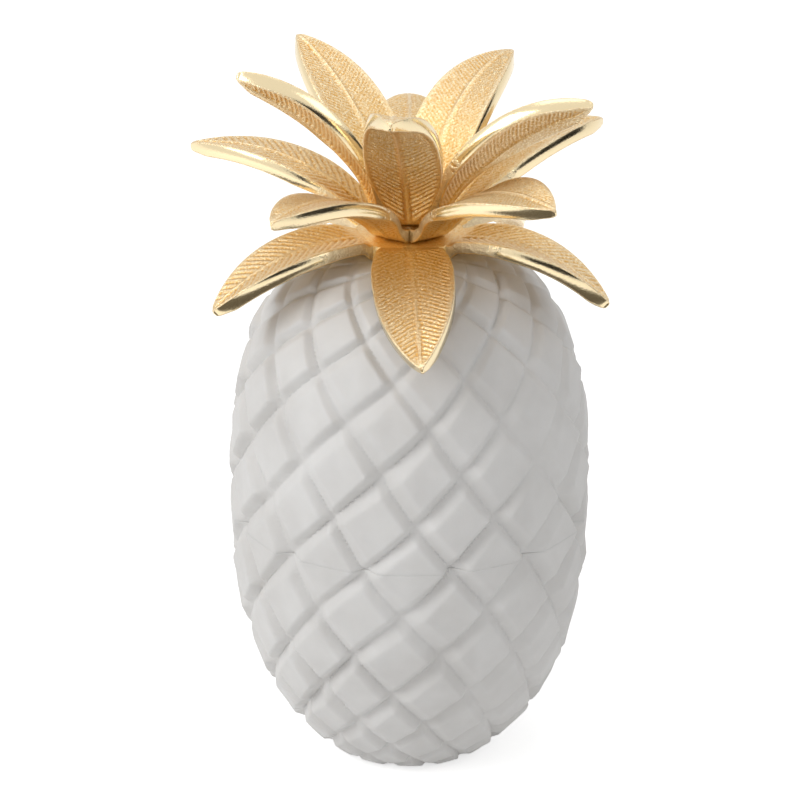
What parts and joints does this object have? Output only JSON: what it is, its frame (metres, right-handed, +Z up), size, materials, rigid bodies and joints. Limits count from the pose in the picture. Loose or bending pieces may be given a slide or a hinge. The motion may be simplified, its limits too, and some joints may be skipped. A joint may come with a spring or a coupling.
{
  "type": "lidded pineapple box",
  "caption": "Decorative box shaped like a pineapple: a carved white stone bowl, a matching lift-off lid and a crown of cast brass leaves that is the lid's handle.",
  "frame": {"origin": "centre of the felt pad's underside, which rests on the table", "axes": "+Z up along the stud, -Y towards the front, where one drooping leaf hangs down, +X to the right seen from the front"},
  "size_m": [0.1589, 0.1675, 0.2795],
  "materials": {
    "stone": "matte",
    "brass": "satin",
    "steel": "satin",
    "felt": "matte"
  },
  "bodies": {
    "base": {"felt_pad": "felt", "base_bowl": "stone"},
    "lid": {"lid_shell": "stone", "lower_hub": "brass", "middle_hub": "brass", "upper_hub": "brass", "crown_stud": "steel", "stud_washer": "steel", "stud_nut": "steel", "lower_leaf_front": "brass", "lower_leaf_right": "brass", "lower_leaf_back_right": "brass", "lower_leaf_back_left": "brass", "lower_leaf_left": "brass", "middle_leaf_front_right": "brass", "middle_leaf_right": "brass", "middle_leaf_back": "brass", "middle_leaf_left": "brass", "middle_leaf_front_left": "brass", "upper_leaf_front": "brass", "upper_leaf_right": "brass", "upper_leaf_back_right": "brass", "upper_leaf_back_left": "brass", "upper_leaf_left": "brass"}
  },
  "joints": [
    {"name": "lid_lift", "type": "slide", "parent": "base", "child": "lid", "axis": [0, 0, 1], "range_m": [0, 0.12]}
  ]
}
